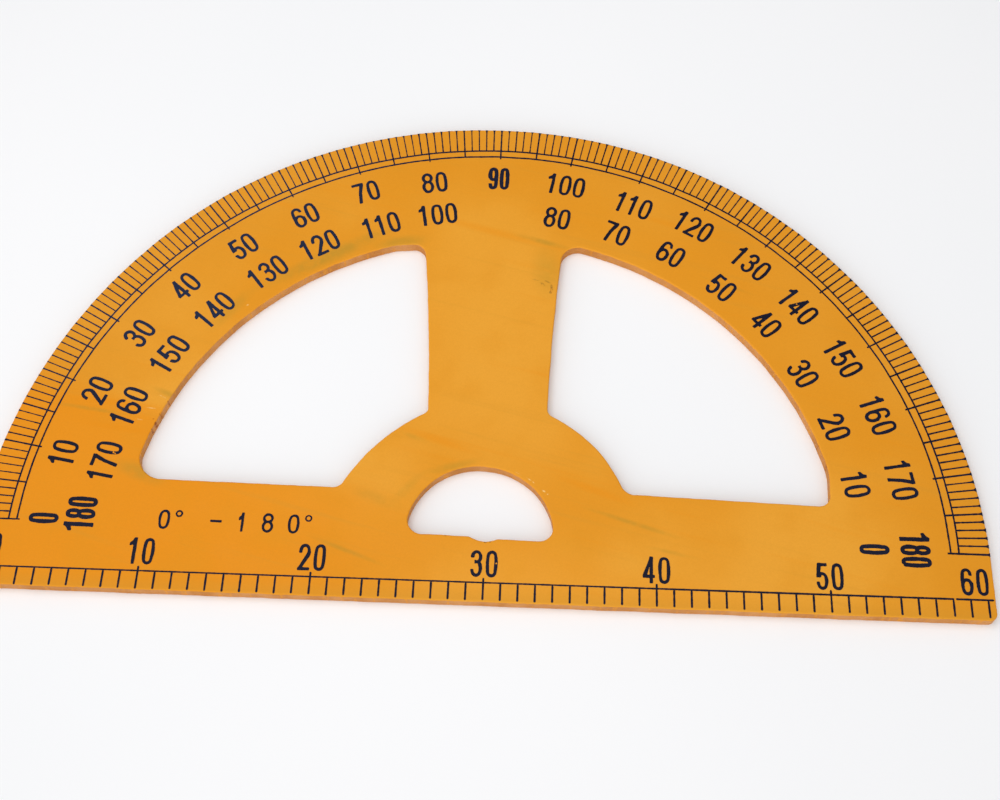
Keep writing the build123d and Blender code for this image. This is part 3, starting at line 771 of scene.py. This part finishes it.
class Shader:
    """Small helper for building a node material around one Principled shader."""

    def __init__(self, name):
        self.material = bpy.data.materials.new(name)
        self.material.use_nodes = True
        self.tree = self.material.node_tree
        self.tree.nodes.clear()
        self.out = self.tree.nodes.new("ShaderNodeOutputMaterial")
        self.bsdf = self.tree.nodes.new("ShaderNodeBsdfPrincipled")
        self.tree.links.new(self.bsdf.outputs["BSDF"], self.out.inputs["Surface"])
        coordinates = self.tree.nodes.new("ShaderNodeTexCoord")
        self.mm = self.vector("SCALE", coordinates.outputs["Object"], scale=1 / MM)
        split = self.node("ShaderNodeSeparateXYZ", Vector=self.mm)
        self.x, self.y, self.z = (split.outputs[k] for k in "XYZ")

    def put(self, socket, value):
        if isinstance(value, bpy.types.NodeSocket):
            self.tree.links.new(value, socket)
        elif value is not None:
            socket.default_value = value

    def node(self, kind, settings=None, **inputs):
        made = self.tree.nodes.new(kind)
        for key, value in (settings or {}).items():
            setattr(made, key, value)
        for key, value in inputs.items():
            self.put(made.inputs[key.replace("_", " ")], value)
        return made

    def vector(self, operation, a, b=None, scale=None):
        made = self.node("ShaderNodeVectorMath", {"operation": operation})
        self.put(made.inputs[0], a)
        if b is not None:
            self.put(made.inputs[1], b)
        if scale is not None:
            made.inputs["Scale"].default_value = scale
        return made.outputs["Value" if operation == "LENGTH" else "Vector"]

    def math(self, operation, a, b=None):
        made = self.node("ShaderNodeMath", {"operation": operation})
        self.put(made.inputs[0], a)
        if b is not None:
            self.put(made.inputs[1], b)
        return made.outputs[0]

    def ramp(self, value, low, high, to_low=0.0, to_high=1.0):
        made = self.node("ShaderNodeMapRange", {"interpolation_type": "SMOOTHSTEP"}, Value=value)
        for key, number in (("From Min", low), ("From Max", high), ("To Min", to_low), ("To Max", to_high)):
            made.inputs[key].default_value = number
        return made.outputs["Result"]

    def noise(self, wavelength, stretch=(1, 1, 1), detail=2.0, roughness=0.5, offset=0.0):
        """Noise with features about one wavelength (mm) across."""
        place = self.vector("MULTIPLY", self.mm, tuple(stretch))
        place = self.vector("ADD", place, (offset, 2 * offset, 3 * offset))
        made = self.node("ShaderNodeTexNoise", Vector=place, Scale=1.0 / wavelength, Detail=detail,
                         Roughness=roughness)
        return made.outputs["Fac"]

    def mix(self, factor, a, b):
        made = self.node("ShaderNodeMix", {"data_type": "RGBA"})
        self.put(made.inputs[0], factor)
        self.put(made.inputs[6], a)
        self.put(made.inputs[7], b)
        return made.outputs[2]

    def blot(self, x, y, radius_x, radius_y, turn, soft):
        """1 inside an oval patch, falling to 0 at its border."""
        c, s = math.cos(math.radians(turn)), math.sin(math.radians(turn))
        dx, dy = self.math("SUBTRACT", self.x, x), self.math("SUBTRACT", self.y, y)
        u = self.math("ADD", self.math("MULTIPLY", dx, c / radius_x), self.math("MULTIPLY", dy, s / radius_x))
        v = self.math("SUBTRACT", self.math("MULTIPLY", dy, c / radius_y),
                      self.math("MULTIPLY", dx, s / radius_y))
        r = self.math("SQRT", self.math("ADD", self.math("MULTIPLY", u, u), self.math("MULTIPLY", v, v)))
        return self.ramp(r, 1 - soft, 1.0, 1.0, 0.0)

    def lay(self, marks, soft, ragged, base, tone):
        """Lays a list of oval marks of one tone over a base colour, with ragged borders if given."""
        for x, y, long, wide, turn, strength in marks:
            part = self.math("MULTIPLY", self.blot(x, y, long, wide, turn, soft), strength)
            if ragged is not None:
                part = self.math("MULTIPLY", part, ragged)
            base = self.mix(part, base, tone)
        return base

    def bump(self, height, distance, strength=1.0, below=None):
        made = self.node("ShaderNodeBump", Strength=strength, Distance=distance * MM, Height=height)
        if below is not None:
            self.put(made.inputs["Normal"], below)
        return made.outputs["Normal"]


def colour(r, g, b):
    """Linear colour of an sRGB value out of 255."""
    return tuple(((c / 255 + 0.055) / 1.055)**2.4 if c > 10 else c / 255 / 12.92 for c in (r, g, b)) + (1.0,)


PAINT = colour(226, 147, 28)
# pale tone of the coat, also the colour of a painted sheen in the middle of the face
PAINT_PALE_AND_SHEEN = colour(232, 160, 48)
PAINT_WARM = colour(231, 141, 8)
PAINT_RIM = colour(221, 144, 28)
PAINT_OLIVE = colour(210, 146, 40)
PAINT_DARK = colour(196, 124, 22)
SMUDGE = colour(182, 140, 40)
WALL_DEEP = colour(194, 126, 56)
WALL_PALE = colour(212, 148, 84)
WALL_FIBRE = colour(168, 102, 44)
CHIP = colour(248, 214, 140)
DIRT = colour(84, 58, 24)
RUST = colour(134, 58, 14)
BRUSH_ANGLE = math.radians(14)

# Marks of use and manufacture on the printed face: (x, y, half length, half width, degrees, strength)
OLIVE_SMUDGES = [
    (-108, 190, 62, 7.5, 31, 0.75), (-62, 203, 24, 7, 10, 0.65), (-166, 148, 26, 7, 52, 0.45),
    (-20, 44.0, 24, 4.0, 16, 0.50), (-46, 28.5, 16, 4.5, 50, 0.34), (-64, 22, 22, 6, -20, 0.30),
    (34, 184, 14, 26, 6, 0.38), (-206, 33, 24, 8, -20, 0.60), (-44, 63, 11, 2.6, -18, 0.32),
    (30, 207, 24, 3.0, -15, 0.65), (88, 12, 38, 2.4, -17, 0.55), (-78, -12, 30, 2.4, -20, 0.55),
    (112, -6, 20, 2.0, -12, 0.4), (-242, 74, 34, 2.2, -8, 0.5), (-196, 86, 16, 3.0, -20, 0.6),
    (150, 178, 24, 1.8, -20, 0.4)]
WARM_STREAKS = [
    (0, 213, 66, 4.6, -15, 0.42), (-28, 61, 32, 4.0, -18, 0.5), (66, 32, 34, 4.0, -20, 0.5),
    (-232, 79, 40, 3.6, -6, 0.8), (-225, 62, 36, 3.2, -8, 0.6), (120, 222, 44, 3.6, -16, 0.4),
    (-150, 232, 34, 3.6, -16, 0.35)]
LIGHT_CHIPS = [
    (26.8, 37.6, 2.2, 0.5, -38, 0.9), (29.4, 35.6, 1.4, 0.4, -40, 0.7), (35.8, 30.2, 1.5, 0.7, -35, 0.9),
    (38.2, 28.2, 0.7, 0.5, 0, 0.7), (20.0, 41.2, 3.0, 0.35, -28, 0.5), (-156, 151.5, 1.1, 0.7, 40, 0.5),
    (-200, 84, 3.5, 0.5, -25, 0.5), (-206, 76, 4.0, 0.5, -5, 0.5), (-212, 68, 3.0, 0.5, -8, 0.3)]
DIRT_SPECKS = [
    (2.6, -3.7, 1.1, 0.6, 5, 0.9), (5.2, -3.3, 0.8, 0.6, 0, 0.9), (-21.0, -0.5, 0.7, 0.6, 0, 0.7),
    (-245.0, 160.0, 0.9, 0.6, 30, 0.7), (212, 236, 0.5, 0.5, 0, 0.6), (36.9, 172, 1.2, 3.6, 8, 0.5),
    (34.2, 176.4, 3.0, 0.9, -25, 0.4), (31.0, 174.6, 3.0, 1.2, -40, 0.4),
    (26.5, 177.6, 3.0, 0.9, -10, 0.25), (36.2, 168.6, 1.2, 1.4, 0, 0.6)]
RUST_SPECKS = [
    (-201.9, 66.0, 1.7, 0.9, 70, 0.85), (-199.9, 72.3, 1.2, 0.9, 60, 0.85),
    (-203.3, 61.6, 1.2, 0.8, 70, 0.9), (-196.4, 81.0, 0.9, 0.7, 60, 0.7), (-203.4, 68.6, 0.8, 0.6, 0, 0.6),
    (204.9, 53.5, 1.6, 0.7, 100, 0.7), (200.6, 67.0, 1.2, 0.7, 110, 0.7), (36.6, 170, 0.8, 3.0, 4, 0.5)]


def board_material(name, marked):
    s = Shader(name)
    # the brush strokes lie at an angle to the rule, so their noises are read in a turned frame
    turned = s.node("ShaderNodeVectorRotate", {"rotation_type": "Z_AXIS"}, Vector=s.mm, Angle=BRUSH_ANGLE)
    plain, s.mm = s.mm, turned.outputs[0]
    streaks = s.noise(7, stretch=(0.035, 1, 1), detail=4, roughness=0.6, offset=2.1)
    bands = s.noise(32, stretch=(0.12, 1, 1), detail=2, offset=5.1)
    s.mm = plain
    broad = s.noise(120)
    cloudy = s.noise(30, detail=3, offset=7.3)
    speckle = s.noise(0.8, detail=2, roughness=0.8, offset=4.4)
    grit = s.noise(0.5, detail=1, offset=14.4)
    lower = s.math("ADD", s.y, s.math("MULTIPLY", s.x, 0.3))
    lower = s.math("ADD", lower, s.math("MULTIPLY", s.math("SUBTRACT", bands, 0.5), 90.0))
    warm = s.math("MULTIPLY", s.ramp(s.x, -150, -10, 1.0, 0.25), s.ramp(lower, -8, 26, 1.0, 0.0))
    high = s.ramp(s.vector("LENGTH", s.mm), 225.0, 290.0)
    # the coat: paler in the middle from a painted sheen, deeper at the rim, warmer at the lower left
    paint = s.mix(s.ramp(broad, 0.35, 0.65), PAINT, PAINT_PALE_AND_SHEEN)
    # painted sheen: a broad pale patch over the strut, where light glances off the coat
    paint = s.mix(s.blot(0, 130, 70, 130, 0.0, 0.9), paint, PAINT_PALE_AND_SHEEN)
    paint = s.mix(s.math("MULTIPLY", high, 0.55), paint, PAINT_RIM)
    paint = s.mix(s.math("MULTIPLY", warm, 0.85), paint, PAINT_WARM)
    paint = s.mix(s.ramp(cloudy, 0.45, 0.75, 0.0, 0.35), paint, PAINT_RIM)
    paint = s.mix(s.ramp(streaks, 0.54, 0.74, 0.0, 0.30), paint, PAINT_OLIVE)
    paint = s.mix(s.ramp(streaks, 0.26, 0.44, 0.26, 0.0), paint, PAINT_WARM)
    paint = s.mix(s.ramp(s.y, -40, -29, 0.45, 0.0), paint, PAINT_OLIVE)
    if marked:
        ragged = s.ramp(s.noise(11, detail=4, roughness=0.65, offset=11.0), 0.25, 0.60, 0.25, 1.0)
        paint = s.lay(WARM_STREAKS, 0.9, None, paint, PAINT_WARM)
        paint = s.lay(OLIVE_SMUDGES, 0.95, ragged, paint, SMUDGE)
    paint = s.mix(s.ramp(speckle, 0.28, 0.72, 0.0, 0.16), paint, PAINT_DARK)
    paint = s.mix(s.ramp(grit, 0.74, 0.80, 0.0, 0.35), paint, PAINT_DARK)
    # the sawn wall between the two sanded edges, stained by the paint that ran over it
    chipped = s.noise(3.0, detail=3, roughness=0.65, offset=17.0)
    height = s.math("ADD", s.z, s.math("MULTIPLY", s.math("SUBTRACT", chipped, 0.5), 1.1))
    above = s.ramp(height, TOP - 0.85, TOP - 0.30, 1.0, 0.0)
    below = s.ramp(height, 0.30, 0.85, 0.0, 1.0)
    wall = s.math("MULTIPLY", above, below)
    along = s.noise(16, stretch=(1, 1, 0.5), detail=4, roughness=0.6, offset=9.0)
    fibres = s.noise(1.7, stretch=(0.2, 0.2, 3.0), detail=3, roughness=0.6, offset=3.0)
    edge = s.mix(s.ramp(along, 0.3, 0.7), WALL_DEEP, WALL_PALE)
    edge = s.mix(s.ramp(fibres, 0.50, 0.78, 0.0, 0.26), edge, WALL_FIBRE)
    run = s.noise(2.6, stretch=(1, 1, 0.15), detail=2, offset=21.0)
    edge = s.mix(s.ramp(run, 0.56, 0.70, 0.0, 0.6), edge, PAINT)
    seam = s.math("ABSOLUTE", s.math("SUBTRACT", s.math("FRACT", s.math("DIVIDE", s.z, PLY)), 0.5))
    seam = s.math("MULTIPLY", s.ramp(seam, 0.40, 0.5), s.ramp(along, 0.35, 0.6, 0.10, 0.38))
    edge = s.mix(seam, edge, WALL_FIBRE)
    final = s.mix(wall, paint, edge)
    if marked:
        worn = s.ramp(s.noise(1.4, detail=3, roughness=0.7, offset=31.0), 0.36, 0.58)
        for specks, tone in ((LIGHT_CHIPS, CHIP), (DIRT_SPECKS, DIRT), (RUST_SPECKS, RUST)):
            final = s.lay(specks, 0.7, worn, final, tone)
    s.put(s.bsdf.inputs["Base Color"], final)
    s.put(s.bsdf.inputs["Roughness"], s.ramp(cloudy, 0.3, 0.7, 0.46, 0.60))
    s.bsdf.inputs["Specular IOR Level"].default_value = 0.14
    peel = s.noise(2.2, detail=3, offset=5.5)
    normal = s.bump(peel, 0.05, 0.5)
    normal = s.bump(streaks, 0.12, 0.5, normal)
    normal = s.bump(s.math("MULTIPLY", fibres, wall), 0.25, 0.8, normal)
    s.put(s.bsdf.inputs["Normal"], normal)
    return s.material


def ink_material():
    s = Shader("screen_ink")
    patchy = s.noise(26, detail=3, offset=1.7)
    fine = s.noise(0.6, detail=2, roughness=0.6, offset=6.1)
    body = s.mix(s.ramp(patchy, 0.35, 0.7), colour(8, 8, 30), colour(14, 18, 42))
    body = s.mix(s.ramp(fine, 0.5, 0.66, 0.0, 0.25), body, colour(34, 40, 66))
    faded = s.math("MULTIPLY", s.ramp(s.x, -190, 40, 1.0, 0.0), s.ramp(s.y, 40, 150))
    body = s.mix(s.math("MULTIPLY", faded, 0.7), body, colour(30, 42, 70))
    worn = s.math("MULTIPLY", s.ramp(fine, 0.68, 0.74, 0.0, 0.7), s.ramp(patchy, 0.45, 0.65))
    s.put(s.bsdf.inputs["Base Color"], s.mix(worn, body, colour(140, 92, 34)))
    s.put(s.bsdf.inputs["Roughness"], s.ramp(patchy, 0.3, 0.7, 0.50, 0.64))
    s.bsdf.inputs["Specular IOR Level"].default_value = 0.16
    s.put(s.bsdf.inputs["Normal"], s.bump(s.noise(1.2, offset=8.2), 0.03, 0.4))
    return s.material


face_paint = board_material("orange_paint_front", True)
back_paint = board_material("orange_paint_back", False)
edge_paint = board_material("painted_plies", True)
ink = ink_material()


def dress(piece, material, node):
    piece.data.materials.append(material)
    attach(piece, "root")
    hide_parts(node)


dress(board_face, face_paint, "face_ply")
dress(board_back, back_paint, "back_ply")
for piece, node in inner_plies:
    dress(piece, edge_paint, node)
for film, node in ((outer_film, "outer_degree_numbers"), (inner_film, "inner_degree_numbers"),
                   (rule_film, "rule_numbers"), (legend_film, "range_legend"), (arcs, "degree_arcs"),
                   (one_ticks, "one_degree_ticks"), (five_ticks, "five_degree_ticks"),
                   (ten_ticks, "ten_degree_ticks"), (rule_line, "rule_baseline"),
                   (centimetres, "centimetre_ticks"), (tens, "ten_centimetre_ticks")):
    film.finish(node, "scale_ink").data.materials.append(ink)

# -------------------- stage, light and camera
PAPER_SIZE, PAPER_Z = 6.0, -0.02   # m, mm
PAPER_SHADES = (0.900, 0.902, 0.905, 1), (0.922, 0.920, 0.921, 1)
SKY_COLOUR = (0.98, 0.985, 1.0, 1)
SKY_FAR, SKY_NEAR = 0.32, 1.33     # the windows are behind and to the left of the camera
WINDOWS_SIDE = (-0.35, -0.85, 0.12)
SKY_FADE = (-0.6, 0.9)
SOFTBOX_POWER, SOFTBOX_SIZE = 3.3, 0.9
SOFTBOX_PLACE, SOFTBOX_TARGET = (-0.16, 0.08, 0.98), (0, 0.1, 0)
CAMERA_PLACE, CAMERA_DEGREES = (0.02734, -0.31740, 0.80266), (27.9327, -0.1203, 2.2221)
SENSOR_WIDTH, LENS, LENS_SHIFT = 36.0, 52.332, (-0.00975, -0.01936)

paper = Shader("white_paper")
shade = paper.ramp(paper.noise(420, detail=1), 0.3, 0.7)
paper.put(paper.bsdf.inputs["Base Color"], paper.mix(shade, *PAPER_SHADES))
paper.bsdf.inputs["Roughness"].default_value = 0.9
paper.bsdf.inputs["Specular IOR Level"].default_value = 0.1
reach = PAPER_SIZE / 2 / MM
corners = [(x * reach, y * reach, PAPER_Z) for x, y in ((-1, -1), (1, -1), (1, 1), (-1, 1))]
floor = make_object("paper", corners, [(0, 1, 2, 3)], smooth=False)
floor.data.materials.append(paper.material)

world = bpy.data.worlds.new("studio")
bpy.context.scene.world = world
world.use_nodes = True
sky = world.node_tree
background = sky.nodes["Background"]
background.inputs["Color"].default_value = SKY_COLOUR
direction = sky.nodes.new("ShaderNodeTexCoord")
facing = sky.nodes.new("ShaderNodeVectorMath")
facing.operation = "DOT_PRODUCT"
facing.inputs[1].default_value = Vector(WINDOWS_SIDE).normalized()
sky.links.new(direction.outputs["Generated"], facing.inputs[0])
glow = sky.nodes.new("ShaderNodeMapRange")
for key, number in zip(("From Min", "From Max", "To Min", "To Max"), (*SKY_FADE, SKY_FAR, SKY_NEAR)):
    glow.inputs[key].default_value = number
sky.links.new(facing.outputs["Value"], glow.inputs["Value"])
sky.links.new(glow.outputs["Result"], background.inputs["Strength"])

softbox_data = bpy.data.lights.new("softbox", "AREA")
softbox_data.shape = "DISK"
softbox_data.energy, softbox_data.size = SOFTBOX_POWER, SOFTBOX_SIZE
softbox = bpy.data.objects.new("softbox", softbox_data)
softbox.location = SOFTBOX_PLACE
aim = Vector(SOFTBOX_TARGET) - Vector(SOFTBOX_PLACE)
softbox.rotation_euler = aim.to_track_quat("-Z", "Y").to_euler()
bpy.context.scene.collection.objects.link(softbox)

camera_data = bpy.data.cameras.new("camera")
camera_data.sensor_width = SENSOR_WIDTH
camera_data.lens = LENS
camera_data.shift_x, camera_data.shift_y = LENS_SHIFT
camera_data.clip_end = 50.0
camera = bpy.data.objects.new("camera", camera_data)
camera.location = CAMERA_PLACE
camera.rotation_euler = Euler([math.radians(a) for a in CAMERA_DEGREES], "XYZ")
bpy.context.scene.collection.objects.link(camera)
bpy.context.scene.camera = camera
bpy.context.scene.view_settings.view_transform = "Standard"
